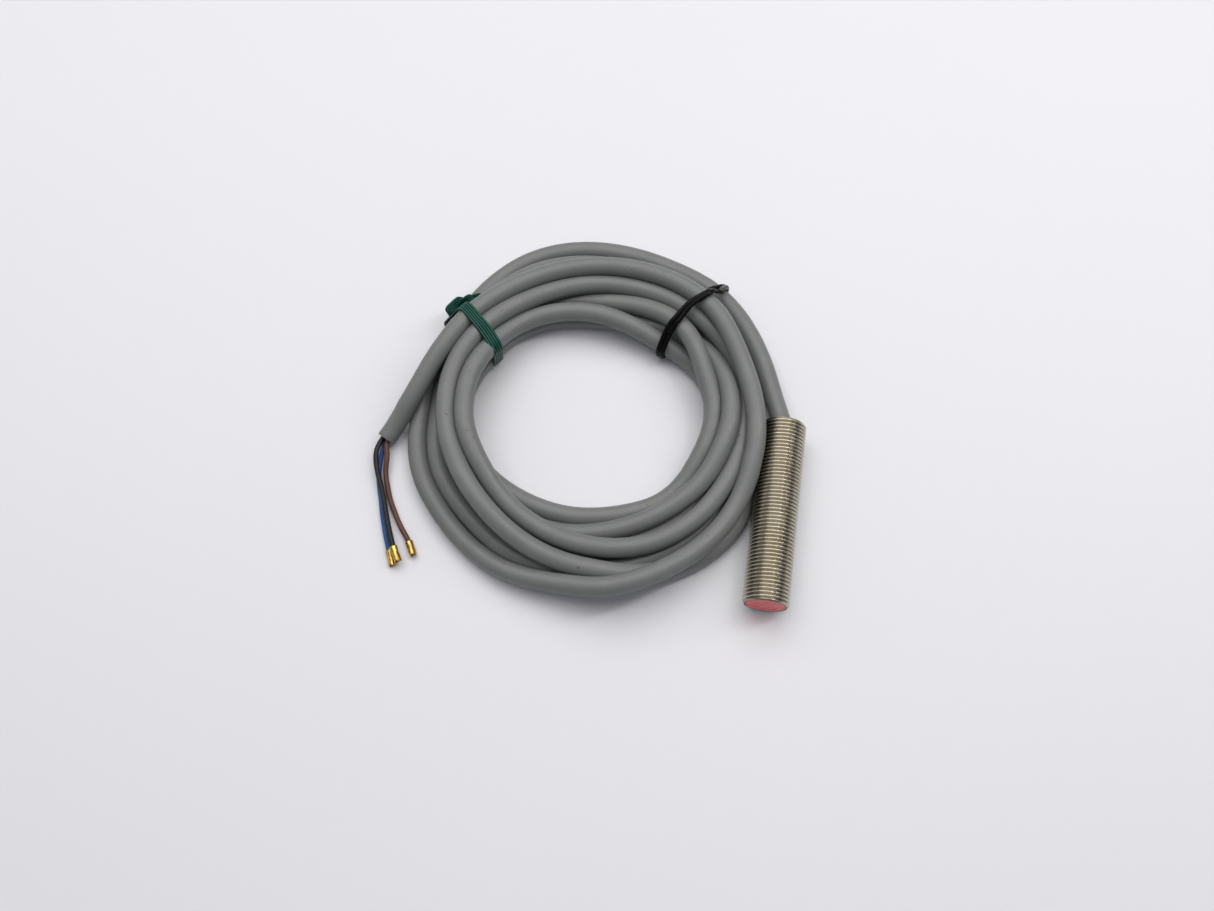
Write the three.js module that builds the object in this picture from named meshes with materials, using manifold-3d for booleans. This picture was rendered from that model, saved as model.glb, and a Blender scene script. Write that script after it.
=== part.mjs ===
// Cylindrical inductive proximity sensor, M12 x 1 x 50 mm, with its 2 m lead in a tied coil.
//
// Millimetres, +Z up. The origin is the centre of the sensing face, +Y runs along the barrel
// to the cable end, and the barrel and the coil lie on the plane z = -FLOOR_DROP.

import * as THREE from 'three';
import { mergeVertices } from 'three/addons/utils/BufferGeometryUtils.js';
import Module from 'manifold-3d';

const wasm = await Module();
wasm.setup();

// ---- driving dimensions -------------------------------------------------------------------

const FLOOR_DROP = 6.0;          // floor below the barrel's axis, half the thread's size
const ROUND_STEPS = 40;          // flats around a turned piece

const BARREL_LENGTH = 50.0;
const THREAD_CREST_R = 5.95;     // crests of the M12 x 1 thread
const BARREL_BORE_R = 5.1;
const END_CHAMFER = 0.45;
const FACE_SEAT_R = 5.3;         // counterbore that the face cap's rim sits in
const FACE_SEAT_DEPTH = 1.2;

const CAP_RIM_R = 5.2;
const CAP_FACE_THICK = 0.9;
const CAP_SKIRT_R = 4.95;
const CAP_SKIRT_BORE_R = 4.35;
const CAP_SKIRT_END = 7.0;

const CORE_R = 4.2;              // ferrite pot core, open towards the face
const CORE_FRONT = 1.1;
const CORE_BACK = 4.7;
const CORE_WELL_BACK = 3.55;
const CORE_WALL_BORE_R = 3.5;
const CORE_POST_R = 1.8;
const CORE_HOLE_R = 0.8;

const BOARD_WIDTH = 8.4;
const BOARD_THICK = 0.8;
const BOARD_FRONT = 5.9;
const BOARD_BACK = 33.5;
const PART_GAP = 0.1;            // solder gap under each component

const SLEEVE_R = 4.95;
const SLEEVE_BORE_R = 4.6;
const SLEEVE_FRONT = 7.4;
const SLEEVE_BACK = 40.0;

const BUSH_FRONT = 40.6;
const BUSH_BACK = 49.7;
const BUSH_R = 4.95;
const BUSH_HOLE_R = 2.8;

const CABLE_R = 2.6;             // 5.2 mm PVC jacket
const CABLE_INNER_END = 38.4;
const CORE_LEAD_R = 0.65;        // insulated conductor inside the barrel
const STRIPPED_WIRE_R = 0.7;     // insulated conductor at the stripped end

const COIL_CENTRE = [-52.5, 48.0];
const COIL_OUTER = 46.2;         // half of its size along X
const COIL_INNER = 27.5;
const COIL_STRETCH = 1.11;       // its size along Y over its size along X
const COIL_BOTTOM = -5.1;
const COIL_TOP = 6.2;
const COIL_CORNER = 3.4;

const TIE_GAP = 0.3;
const TIE_THICK = 0.5;

// ---- colours and finishes -----------------------------------------------------------------

const finishes = {
  nickel: { color: 0xb5ac91, roughness: 0.32, metalness: 1.0 },
  red_plastic: { color: 0xb05a5c, roughness: 0.5, metalness: 0.0 },
  ferrite: { color: 0x2b2a2c, roughness: 0.7, metalness: 0.1 },
  natural_plastic: { color: 0xd9d3c2, roughness: 0.5, metalness: 0.0 },
  black_plastic: { color: 0x1d1d1f, roughness: 0.55, metalness: 0.0 },
  copper: { color: 0xb06a3a, roughness: 0.35, metalness: 1.0 },
  brass: { color: 0xb48a35, roughness: 0.3, metalness: 1.0 },
  board_green: { color: 0x1f5a3a, roughness: 0.45, metalness: 0.0 },
  ceramic: { color: 0xa98c6a, roughness: 0.5, metalness: 0.0 },
  tantalum_yellow: { color: 0xc79a2c, roughness: 0.5, metalness: 0.0 },
  cable_grey: { color: 0x7b7d7c, roughness: 0.5, metalness: 0.0 },
  wire_black: { color: 0x17171a, roughness: 0.4, metalness: 0.0 },
  wire_blue: { color: 0x1d4f92, roughness: 0.4, metalness: 0.0 },
  wire_brown: { color: 0x5d3a30, roughness: 0.4, metalness: 0.0 },
  tie_green: { color: 0x0d4a33, roughness: 0.3, metalness: 0.0 },
  tie_black: { color: 0x101114, roughness: 0.3, metalness: 0.0 },
};

const group = new THREE.Group();

function add(name, geometry, finish) {
  const mesh = new THREE.Mesh(geometry, new THREE.MeshStandardMaterial(finishes[finish]));
  mesh.name = name;
  group.add(mesh);
  return mesh;
}

// ---- shape helpers ------------------------------------------------------------------------

// A piece turned about Y. The profile is a list of [radius, y] that runs up its outer side.
function turned(profile, steps = ROUND_STEPS) {
  const points = profile.map(([r, y]) => new THREE.Vector2(r, y));
  if (profile[0][0] > 0) {
    points.push(points[0].clone());
  }
  return new THREE.LatheGeometry(points, steps);
}

// A plain sleeve between two radii and two stations along Y.
function sleeve(innerR, outerR, front, back) {
  return turned([[innerR, front], [outerR, front], [outerR, back], [innerR, back]]);
}

// A round bar of radius r along a smooth curve through the points.
function bar(points, r, steps, sides = 8) {
  const curve = new THREE.CatmullRomCurve3(points.map((p) => new THREE.Vector3(...p)));
  const section = new THREE.Shape();
  for (let i = 0; i < sides; i += 1) {
    const a = (i + 0.5) * 2 * Math.PI / sides;
    if (i === 0) {
      section.moveTo(r * Math.cos(a), r * Math.sin(a));
    } else {
      section.lineTo(r * Math.cos(a), r * Math.sin(a));
    }
  }
  section.closePath();
  return new THREE.ExtrudeGeometry(section, { steps, extrudePath: curve });
}

function box(size, centre) {
  return new THREE.BoxGeometry(...size).translate(...centre);
}

function solid(geometry) {
  const bare = geometry.clone();
  bare.deleteAttribute('normal');
  bare.deleteAttribute('uv');
  const merged = mergeVertices(bare);
  return new wasm.Manifold(new wasm.Mesh({
    numProp: 3,
    vertProperties: new Float32Array(merged.attributes.position.array),
    triVerts: new Uint32Array(merged.index.array),
  }));
}

function geometryOf(body) {
  const mesh = body.getMesh();
  const geometry = new THREE.BufferGeometry();
  geometry.setAttribute('position', new THREE.BufferAttribute(new Float32Array(mesh.vertProperties), 3));
  geometry.setIndex(new THREE.BufferAttribute(new Uint32Array(mesh.triVerts), 1));
  geometry.computeVertexNormals();
  return geometry;
}

// ---- barrel and sensing end ---------------------------------------------------------------

const chamferedR = THREAD_CREST_R - END_CHAMFER;

add('threaded_barrel', turned([
  [FACE_SEAT_R, 0],
  [chamferedR, 0],
  [THREAD_CREST_R, END_CHAMFER],
  [THREAD_CREST_R, BARREL_LENGTH - END_CHAMFER],
  [chamferedR, BARREL_LENGTH],
  [BARREL_BORE_R, BARREL_LENGTH],
  [BARREL_BORE_R, FACE_SEAT_DEPTH],
  [FACE_SEAT_R, FACE_SEAT_DEPTH],
], 48), 'nickel');

add('sensing_face_cap', turned([
  [0, 0],
  [CAP_RIM_R - 0.2, 0],
  [CAP_RIM_R, 0.2],
  [CAP_RIM_R, FACE_SEAT_DEPTH - 0.15],
  [CAP_SKIRT_R, FACE_SEAT_DEPTH - 0.15],
  [CAP_SKIRT_R, CAP_SKIRT_END],
  [CAP_SKIRT_BORE_R, CAP_SKIRT_END],
  [CAP_SKIRT_BORE_R, CAP_FACE_THICK],
  [0, CAP_FACE_THICK],
]), 'red_plastic');

add('ferrite_pot_core', turned([
  [CORE_HOLE_R, CORE_FRONT],
  [CORE_POST_R, CORE_FRONT],
  [CORE_POST_R, CORE_WELL_BACK],
  [CORE_WALL_BORE_R, CORE_WELL_BACK],
  [CORE_WALL_BORE_R, CORE_FRONT],
  [CORE_R, CORE_FRONT],
  [CORE_R, CORE_BACK],
  [CORE_HOLE_R, CORE_BACK],
]), 'ferrite');

const bobbinBoreR = CORE_POST_R + 0.15;
const bobbinHubR = bobbinBoreR + 0.2;
const bobbinFlangeR = CORE_WALL_BORE_R - 0.15;
const bobbinFront = CORE_FRONT + 0.1;
const bobbinBack = CORE_WELL_BACK - 0.15;
const flangeThick = 0.25;

add('coil_bobbin', turned([
  [bobbinBoreR, bobbinFront],
  [bobbinFlangeR, bobbinFront],
  [bobbinFlangeR, bobbinFront + flangeThick],
  [bobbinHubR, bobbinFront + flangeThick],
  [bobbinHubR, bobbinBack - flangeThick],
  [bobbinFlangeR, bobbinBack - flangeThick],
  [bobbinFlangeR, bobbinBack],
  [bobbinBoreR, bobbinBack],
]), 'natural_plastic');

add('coil_winding', sleeve(
  bobbinHubR + 0.1,
  bobbinFlangeR - 0.15,
  bobbinFront + flangeThick + 0.1,
  bobbinBack - flangeThick - 0.1,
), 'copper');

// ---- electronics --------------------------------------------------------------------------

const holder = solid(box([8.2, 1.6, 3.0], [0, 5.8, 0]))
  .subtract(solid(box([9.0, 1.2, BOARD_THICK + 0.3], [0, 6.2, 0])));
add('core_holder', geometryOf(holder), 'natural_plastic');

add('circuit_board', box(
  [BOARD_WIDTH, BOARD_BACK - BOARD_FRONT, BOARD_THICK],
  [0, (BOARD_FRONT + BOARD_BACK) / 2, 0],
), 'board_green');

// Each component: name, [width, length, height], [x, y], side of the board, finish.
const components = [
  ['oscillator_chip', [3.9, 4.9, 1.4], [0, 13.5], 1, 'black_plastic'],
  ['output_transistor', [2.5, 4.5, 1.5], [1.2, 25.5], 1, 'black_plastic'],
  ['protection_diode', [1.6, 2.7, 1.1], [-2.2, 26.0], 1, 'black_plastic'],
  ['tank_capacitor', [1.25, 2.0, 0.9], [-1.6, 9.6], 1, 'ceramic'],
  ['filter_capacitor', [1.25, 2.0, 0.9], [1.6, 9.6], 1, 'ceramic'],
  ['supply_capacitor', [1.6, 3.2, 1.6], [-2.0, 20.0], 1, 'tantalum_yellow'],
  ['gain_resistor', [0.8, 1.6, 0.45], [1.0, 18.6], 1, 'black_plastic'],
  ['bias_resistor', [0.8, 1.6, 0.45], [2.6, 18.6], 1, 'black_plastic'],
  ['feedback_resistor', [0.8, 1.6, 0.45], [-1.0, 15.0], -1, 'black_plastic'],
  ['output_resistor', [0.8, 1.6, 0.45], [1.5, 22.0], -1, 'black_plastic'],
];
for (const [name, size, [x, y], side, finish] of components) {
  const z = side * (BOARD_THICK / 2 + PART_GAP + size[2] / 2);
  add(name, box(size, [x, y, z]), finish);
}

for (const [name, x] of [['coil_lead_left', -1.6], ['coil_lead_right', 1.6]]) {
  add(name, bar([[x, 4.95, 1.95], [x, 6.4, 1.9], [x, 7.4, 1.3], [x, 8.2, 0.75]], 0.15, 8, 6), 'copper');
}

add('insulating_sleeve', sleeve(SLEEVE_BORE_R, SLEEVE_R, SLEEVE_FRONT, SLEEVE_BACK), 'natural_plastic');

for (const [name, x, finish] of [
  ['inner_lead_brown', -1.5, 'wire_brown'],
  ['inner_lead_black', 0, 'wire_black'],
  ['inner_lead_blue', 1.5, 'wire_blue'],
]) {
  const route = [[x, CABLE_INNER_END - 0.3, 0.3], [x, 36.4, 0.5], [x, 34.6, 1.1], [x, 30.5, 1.25]];
  add(name, bar(route, CORE_LEAD_R, 8), finish);
}

// ---- cable end of the barrel --------------------------------------------------------------

add('crimp_ring', sleeve(CABLE_R + 0.2, 3.5, 38.6, 40.2), 'brass');

add('rear_bush', turned([
  [BUSH_HOLE_R, BUSH_FRONT],
  [BUSH_R, BUSH_FRONT],
  [BUSH_R, BUSH_BACK - 0.3],
  [BUSH_R - 0.3, BUSH_BACK],
  [BUSH_HOLE_R, BUSH_BACK],
]), 'black_plastic');

// ---- cable --------------------------------------------------------------------------------

// The lead runs straight out of the bush and bends down and left into the coil.
const leadRoute = [
  [0, CABLE_INNER_END, 0],
  [0, 44, 0],
  [0, 50, 0],
  [-0.4, 54.5, -0.5],
  [-1.7, 59.5, -1.4],
  [-3.8, 64.5, -2.0],
  [-6.8, 69.6, -2.2],
];
add('cable_lead', bar(leadRoute, CABLE_R, 12, 10), 'cable_grey');

// The coil's outer shape: a ring of round-cornered section, stretched along Y.
function coilProfile(grow) {
  const profile = [];
  const cornerR = COIL_CORNER + grow;
  const corners = [
    [COIL_OUTER - COIL_CORNER, COIL_BOTTOM + COIL_CORNER, -90],
    [COIL_OUTER - COIL_CORNER, COIL_TOP - COIL_CORNER, 0],
    [COIL_INNER + COIL_CORNER, COIL_TOP - COIL_CORNER, 90],
    [COIL_INNER + COIL_CORNER, COIL_BOTTOM + COIL_CORNER, 180],
  ];
  for (const [r, y, start] of corners) {
    for (const step of [0, 30, 60, 90]) {
      const a = (start + step) * Math.PI / 180;
      profile.push([r + cornerR * Math.cos(a), y + cornerR * Math.sin(a)]);
    }
  }
  return profile;
}

function coilRing(grow, steps) {
  return turned(coilProfile(grow), steps)
    .rotateX(Math.PI / 2)
    .scale(1, COIL_STRETCH, 1)
    .translate(...COIL_CENTRE, 0);
}

add('cable_coil', coilRing(0, 48), 'cable_grey');

// The free end leaves the coil at its left side and comes down to the floor.
const tailRoute = [
  [-98.4, 67.4, 1.2],
  [-100.2, 60.5, 0.6],
  [-101.6, 53.5, -0.8],
  [-102.4, 46, -2.4],
  [-103.4, 38.5, -3.3],
  [-104.9, 31.1, -3.4],
];
add('cable_tail', bar(tailRoute, CABLE_R, 8, 10), 'cable_grey');

// ---- stripped conductors and their ferrules -----------------------------------------------

const wires = {
  black: {
    route: [
      [-105.9, 30.6, -2.8], [-107.1, 27.6, -3.0], [-106.9, 25.2, -3.3], [-105.8, 22, -3.7],
      [-104.2, 18, -3.8], [-102.4, 14, -3.7], [-100.6, 10, -3.6], [-98.9, 6, -3.5], [-97.7, 3, -3.4],
    ],
    tip: [-95.1, -1.6, -3.7],
  },
  blue: {
    route: [
      [-104.7, 30.3, -4.5], [-105.9, 27, -5.1], [-105.6, 23, -5.3], [-104.9, 19, -5.3],
      [-103.6, 15, -5.3], [-102.1, 11, -5.3], [-100.5, 7, -5.3], [-99.0, 3, -5.3],
    ],
    tip: [-96.6, -2.6, -5.0],
  },
  brown: {
    route: [
      [-103.7, 30.2, -2.9], [-103.9, 27, -3.5], [-103.5, 23, -4.4], [-102.2, 19, -5.2],
      [-100.5, 15.3, -5.3], [-98.4, 11.4, -5.3], [-96, 7.9, -5.3], [-93.6, 4.9, -5.3],
    ],
    tip: [-91.2, 0.9, -4.9],
  },
};
const FERRULE_R = 0.95;

for (const [colour, { route, tip }] of Object.entries(wires)) {
  add(`wire_${colour}`, bar(route, STRIPPED_WIRE_R, 14), `wire_${colour}`);
  const end = new THREE.Vector3(...route[route.length - 1]);
  const along = new THREE.Vector3(...tip).sub(end);
  const start = end.clone().addScaledVector(along, 0.3 / along.length());
  add(`ferrule_${colour}`, bar([start.toArray(), tip], FERRULE_R, 1, 6), 'brass');
}

// ---- ties ---------------------------------------------------------------------------------

// A band of the given width around the coil's section, in the upright plane that crosses
// the coil at a compass angle, plus its twisted tail outside the coil.
function tie(angleDeg, width, tailSize, tailHeight) {
  const a = angleDeg * Math.PI / 180;
  const slab = box([30, width, 40], [0, 0, 0])
    .rotateZ(a)
    .translate(
      COIL_CENTRE[0] + Math.cos(a) * (COIL_OUTER + COIL_INNER) / 2,
      COIL_CENTRE[1] + Math.sin(a) * COIL_STRETCH * (COIL_OUTER + COIL_INNER) / 2,
      0,
    );
  const outside = solid(coilRing(TIE_GAP + TIE_THICK, 96));
  const inside = solid(coilRing(TIE_GAP, 96));
  const band = outside.intersect(solid(slab)).subtract(inside);
  const reach = Math.hypot(COIL_OUTER * Math.cos(a), COIL_OUTER * COIL_STRETCH * Math.sin(a));
  const tail = box(tailSize, [0, 0, 0])
    .translate(TIE_GAP + TIE_THICK / 2 + tailSize[0] / 2, 0, tailHeight)
    .rotateZ(a)
    .translate(COIL_CENTRE[0] + reach * Math.cos(a), COIL_CENTRE[1] + reach * Math.sin(a), 0);
  return geometryOf(band.add(solid(tail)));
}

add('green_tie', tie(149, 3.5, [2.6, 6.0, 3.0], 1.0), 'tie_green');
add('black_tie', tie(56, 2.4, [2.4, 2.4, 2.0], 2.0), 'tie_black');

export default group;
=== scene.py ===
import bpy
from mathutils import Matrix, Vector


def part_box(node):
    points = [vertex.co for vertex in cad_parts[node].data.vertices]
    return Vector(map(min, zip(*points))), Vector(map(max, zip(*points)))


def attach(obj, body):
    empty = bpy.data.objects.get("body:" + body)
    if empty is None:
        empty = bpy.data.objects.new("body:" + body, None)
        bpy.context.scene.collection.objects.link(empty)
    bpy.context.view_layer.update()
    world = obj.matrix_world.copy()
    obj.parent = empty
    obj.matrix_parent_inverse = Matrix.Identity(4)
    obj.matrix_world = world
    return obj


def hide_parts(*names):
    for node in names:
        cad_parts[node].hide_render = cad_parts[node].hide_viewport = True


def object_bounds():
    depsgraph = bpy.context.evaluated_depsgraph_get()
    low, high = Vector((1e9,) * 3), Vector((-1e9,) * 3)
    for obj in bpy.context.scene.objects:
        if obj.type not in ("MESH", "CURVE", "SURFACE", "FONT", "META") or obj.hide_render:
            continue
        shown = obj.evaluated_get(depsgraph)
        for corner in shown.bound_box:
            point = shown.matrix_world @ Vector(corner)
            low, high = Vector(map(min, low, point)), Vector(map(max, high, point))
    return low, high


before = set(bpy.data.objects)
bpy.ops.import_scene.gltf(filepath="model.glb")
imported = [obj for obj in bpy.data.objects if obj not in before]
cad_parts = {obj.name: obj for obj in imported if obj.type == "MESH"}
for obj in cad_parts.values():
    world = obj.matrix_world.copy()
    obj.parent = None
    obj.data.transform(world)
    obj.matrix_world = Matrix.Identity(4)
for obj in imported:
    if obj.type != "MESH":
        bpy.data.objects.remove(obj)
CAD_BOX = [[float(v) for v in corner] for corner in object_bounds()]

import math

import bmesh
import bpy
import numpy as np
from bpy.props import FloatProperty, FloatVectorProperty, IntProperty, PointerProperty
from bpy.types import Operator, Panel, PropertyGroup

bl_info = {
    "name": "Threaded proximity sensor",
    "version": (1, 0, 0),
    "blender": (4, 5, 0),
    "location": "View3D > Sidebar > Sensor",
    "description": "Builds a threaded sensor barrel with its tied-up coil of cable",
    "category": "Add Mesh",
}

MM = 0.001

# ---- the cable's route, in millimetres --------------------------------------------------

COIL_CENTRE = (-52.0, 48.5)
STATIONS = (90, 60, 30, 0, 330, 300, 270, 240, 210, 180, 150, 120)

# Each turn of the coil in order from the barrel: its radius and its centre's height at the
# twelve clock stations above, in degrees clockwise from +Y. The first turn starts one
# station late, where the lead reaches it, and the last one ends early, where the tail
# leaves it.
TURNS = (
    ((47.0, 47.3, 49.4, 49.5, 44.5, 40.2, 42.0, 44.2, 45.4, 45.0, 44.0),
     (-2.0, -3.4, -3.4, -3.4, -3.4, -3.4, -3.4, -3.4, -3.4, -3.4, -3.4)),
    ((39.0, 39.0, 39.0, 38.5, 38.5, 36.6, 38.0, 39.0, 38.0, 36.5, 35.5, 37.5),
     (-3.4, -3.4, -3.4, -3.4, -3.4, -1.4, 1.4, 1.2, -1.5, -3.0, -1.5, 2.0)),
    ((37.5, 36.5, 30.5, 27.0, 30.2, 34.2, 35.5, 36.0, 34.8, 34.6, 34.4, 34.0),
     (4.5, 1.0, -3.0, -3.4, -3.4, -3.4, -3.4, -3.4, -3.4, -3.4, -3.4, -2.0)),
    ((35.0, 34.8, 33.6, 32.5, 34.1, 36.0, 36.0, 37.5, 40.0, 40.5, 39.5, 37.5),
     (1.2, 2.0, 1.5, 0.0, -1.0, 0.5, 1.7, 1.0, -1.0, -3.4, -3.4, -3.4)),
    ((35.5, 32.0, 28.0, 27.0, 29.0, 32.9, 35.4, 35.8, 36.5, 39.5, 42.5, 42.5),
     (-3.4, -3.0, -1.0, 1.0, 1.5, 3.5, 5.0, 4.5, 2.5, 1.5, 1.5, 1.5)),
    ((41.0, 40.5, 38.5, 36.5, 35.0, 35.0, 35.8, 38.0, 41.2, 45.5, 49.5, 50.5),
     (1.1, 1.1, 1.1, 2.0, 4.0, 5.5, 6.0, 5.5, 4.0, 1.8, -1.0, -3.4)),
    ((44.0, 44.5, 45.0, 44.5, 43.2, 41.4, 43.6, 46.9, 49.7, 49.2, 50.0, 48.0),
     (-3.4, -3.4, -2.5, -1.5, 1.7, 2.4, -2.2, -3.4, -3.2, 0.5, 3.5, 2.0)),
    ((44.0, 40.8, 40.5, 40.0, 38.5, 38.5),
     (5.0, 4.5, 4.0, 4.5, 5.5, 6.0)),
)

# How near the centres of two strands may come, the height of a strand's centre on the floor
# and the radius that the ties close round.
TOUCHING = 5.06
REST_HEIGHT = -3.4
STRAND_RADIUS = 2.6

# Where a tie passes beneath the coil, in degrees clockwise from +Y, how far it lifts the
# coil there, and the half-width of that rise in degrees.
TIE_LIFTS = ((-65.0, 1.05), (38.0, 1.5))
LIFT_WIDTH = 13.0

# The barrel that the coil leans on: its radius with a little room, and the stretch of Y that
# it takes up. The cable's first centimetres are its own lead and don't count.
BARREL_RADIUS = 5.95
BARREL_ROOM = 0.1
BARREL_SPAN = (-3.0, 51.0)
OWN_LEAD = 60.0

# The lead from inside the barrel to the coil, and the loose tail to the cut end.
LEAD = (
    (0.0, 38.4, 0.0),
    (0.0, 44.0, 0.0),
    (-0.5, 50.0, 0.0),
    (-2.8, 56.0, -0.6),
    (-5.8, 63.0, -1.4),
)
TAIL = (
    (-90.6, 59.8, 5.6),
    (-94.8, 52.6, 4.0),
    (-98.3, 44.0, 1.4),
    (-100.6, 39.1, -0.9),
    (-103.3, 34.1, -2.8),
    (-104.9, 31.1, -3.3),
)

# Each stripped wire's route past the cut end, to the tip of its ferrule.
WIRES = {
    "black": (
        (-106.8, 27.6, -3.0), (-106.5, 25.2, -3.3), (-105.4, 22.0, -3.7),
        (-103.5, 18.0, -3.8), (-101.8, 14.0, -3.7), (-100.2, 10.0, -3.6),
        (-98.5, 6.0, -3.5), (-97.1, 3.0, -3.4), (-94.4, -1.6, -3.7),
    ),
    "blue": (
        (-105.8, 27.0, -5.1), (-105.5, 23.0, -5.3), (-104.5, 19.0, -5.3),
        (-103.1, 15.0, -5.3), (-101.8, 11.0, -5.3), (-100.3, 7.0, -5.3),
        (-98.6, 3.0, -5.1), (-96.0, -2.6, -4.95),
    ),
    "brown": (
        (-103.9, 27.0, -3.5), (-103.5, 23.0, -4.4), (-102.3, 19.0, -5.2),
        (-100.7, 15.3, -5.3), (-98.4, 11.4, -5.3), (-96.0, 7.9, -5.2),
        (-93.6, 4.9, -5.1), (-91.2, 0.9, -4.9),
    ),
}

# Where each wire leaves the jacket's bore, sideways and up from the middle, and how far
# inside the jacket its route starts. The turn of each ferrule's seam is in radians.
WIRE_SPOTS = {"black": (-0.85, 0.30), "blue": (-0.15, -0.88), "brown": (0.72, 0.42)}
INSIDE_JACKET = (2.6, 1.4, 0.2)
SEAM_TURNS = {"black": 0.5, "blue": -2.4, "brown": 0.2}


# The jacket's three ripples: radians to the metre, and where each starts.
JACKET_RIPPLES = ((95.0, 0.0), (211.0, 1.3), (37.0, 0.4))

# The stage, in metres: half the floor's side, the point that the panels face, and the
# camera's place and its turn.
FLOOR_REACH = 1.4
LIGHT_AIM = (-0.03, 0.04, 0.0)
CAMERA_PLACE = (-0.0284, -0.0779, 0.2833)
CAMERA_TURN = (math.radians(21.83), 0.0, math.radians(8.64))

# Ribs across the green ribbon, and how far along its line a tie looks for strands.
RIBS = 5
TIE_REACH = 22

# Points of a piece that are nearer than this, in metres, are one point.
MERGE = 1e-7


# ---- sizes and colours that a user would change -----------------------------------------


def length(name, description, default):
    """A length property that is held in metres."""
    return FloatProperty(
        name=name, description=description, default=default, unit="LENGTH", precision=5
    )


def colour(name, description, default):
    """A colour property with a linear default."""
    return FloatVectorProperty(
        name=name, description=description, default=default, subtype="COLOR", size=3,
        min=0.0, max=1.0,
    )


def box_size(node, axis):
    """The size of a node of the frame along one axis, in metres."""
    low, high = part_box(node)
    return float(high[axis] - low[axis])


class SensorBarrel(PropertyGroup):
    """Sizes and finish of the threaded barrel and its two ends."""

    barrel_length: length(
        "Length", "Overall length of the barrel", box_size("threaded_barrel", 1)
    )
    crest_radius: length("Crest radius", "Radius over the thread's crests", 0.00595)
    pitch: length("Pitch", "Distance between two crests", 0.001)
    depth: length("Thread depth", "Height of a crest over its root", 0.00058)
    chamfer: length("Chamfer", "Length of the chamfer at each end", 0.0006)
    columns: IntProperty(
        name="Columns", description="Facets round the barrel", default=96, min=24, max=256
    )
    nickel: colour("Nickel", "Colour of the plated brass", (0.53, 0.50, 0.415))
    red: colour("Face", "Colour of the sensing face", (0.78, 0.148, 0.148))


class SensorCable(PropertyGroup):
    """Sizes and colours of the cable, its wires and their ferrules."""

    jacket_radius: length("Jacket radius", "Outer radius of the cable's jacket", 0.0026)
    bore_radius: length("Bore radius", "Inner radius of the jacket", 0.00185)
    cable_length: length("Cable length", "From the barrel's end to the cut end", 1.93)
    wire_radius: length("Wire radius", "Outer radius of one wire's insulation", 0.0007)
    ferrule_radius: length("Ferrule radius", "Outer radius of a crimped ferrule", 0.00095)
    sides: IntProperty(
        name="Sides", description="Facets round the jacket", default=32, min=12, max=48
    )
    grey: colour("Jacket", "Colour of the jacket", (0.175, 0.183, 0.179))
    black: colour("Black wire", "Colour of the black wire", (0.006, 0.006, 0.008))
    blue: colour("Blue wire", "Colour of the blue wire", (0.012, 0.075, 0.24))
    brown: colour("Brown wire", "Colour of the brown wire", (0.115, 0.045, 0.035))
    brass: colour("Brass", "Colour of the ferrules", (0.66, 0.49, 0.15))


class SensorTies(PropertyGroup):
    """Sizes and colours of the two ties round the coil."""

    ribbon_width: length("Ribbon width", "Width of the green ribbed ribbon", 0.0036)
    ribbon_thickness: length("Ribbon thickness", "Thickness of the green ribbon", 0.00065)
    strand_radius: length("Strand radius", "Radius of one strand of the black tie", 0.0006)
    green: colour("Green", "Colour of the ribbon", (0.002, 0.042, 0.029))
    black: colour("Black", "Colour of the black tie", (0.003, 0.003, 0.0035))


class SensorStage(PropertyGroup):
    """The floor, the light and the camera."""

    floor_colour: colour("Floor", "Colour of the floor", (0.78, 0.78, 0.82))
    key_power: FloatProperty(
        name="Key", description="Power of the overhead panel", default=5.2, unit="POWER"
    )
    strip_power: FloatProperty(
        name="Strip", description="Power of the narrow panel", default=1.1, unit="POWER"
    )
    side_power: FloatProperty(
        name="Side", description="Power of the low panel on the left", default=0.45,
        unit="POWER",
    )
    ambient: FloatProperty(
        name="Ambient", description="Strength of the even light", default=0.28, min=0.0
    )
    lens: FloatProperty(
        name="Lens", description="Focal length on a 36 mm wide sensor", default=34.23,
        unit="CAMERA",
    )


# ---- curves -----------------------------------------------------------------------------


def natural_spline(knots, values, at):
    """The natural cubic spline through values at knots, worked out at other places: second
    derivatives come from one linear solve, and each span is the usual cubic of them."""
    knots, values, at = (np.asarray(a, float) for a in (knots, values, at))
    n = len(knots)
    h = np.diff(knots)
    system = np.eye(n)
    right = np.zeros((n,) + values.shape[1:])
    rows = np.arange(1, n - 1)
    system[rows, rows - 1] = h[:-1]
    system[rows, rows] = 2 * (h[:-1] + h[1:])
    system[rows, rows + 1] = h[1:]
    shape = (-1,) + (1,) * (values.ndim - 1)
    slope = np.diff(values, axis=0) / h.reshape(shape)
    right[1:-1] = 6 * np.diff(slope, axis=0)
    bend = np.linalg.solve(system, right)
    k = np.clip(np.searchsorted(knots, at) - 1, 0, n - 2)
    step = h[k].reshape(shape)
    a = ((knots[k + 1] - at) / h[k]).reshape(shape)
    b = 1 - a
    curve = a * values[k] + b * values[k + 1]
    return curve + ((a**3 - a) * bend[k] + (b**3 - b) * bend[k + 1]) * step**2 / 6


def distances(points):
    """The distance along a polyline at each of its points."""
    steps = np.linalg.norm(np.diff(points, axis=0), axis=1)
    return np.concatenate(([0.0], np.cumsum(steps)))


def spaced(points, count):
    """The same polyline with count points at equal steps of its length."""
    along = distances(points)
    at = np.linspace(0, along[-1], count)
    return np.stack([np.interp(at, along, points[:, k]) for k in range(points.shape[1])], -1)


def smooth_route(points, count):
    """A smooth curve through given points: a natural spline over chord length."""
    points = np.asarray(points, float)
    knots = distances(points)
    return spaced(natural_spline(knots, points, np.linspace(0, knots[-1], 8 * count)), count)


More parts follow.
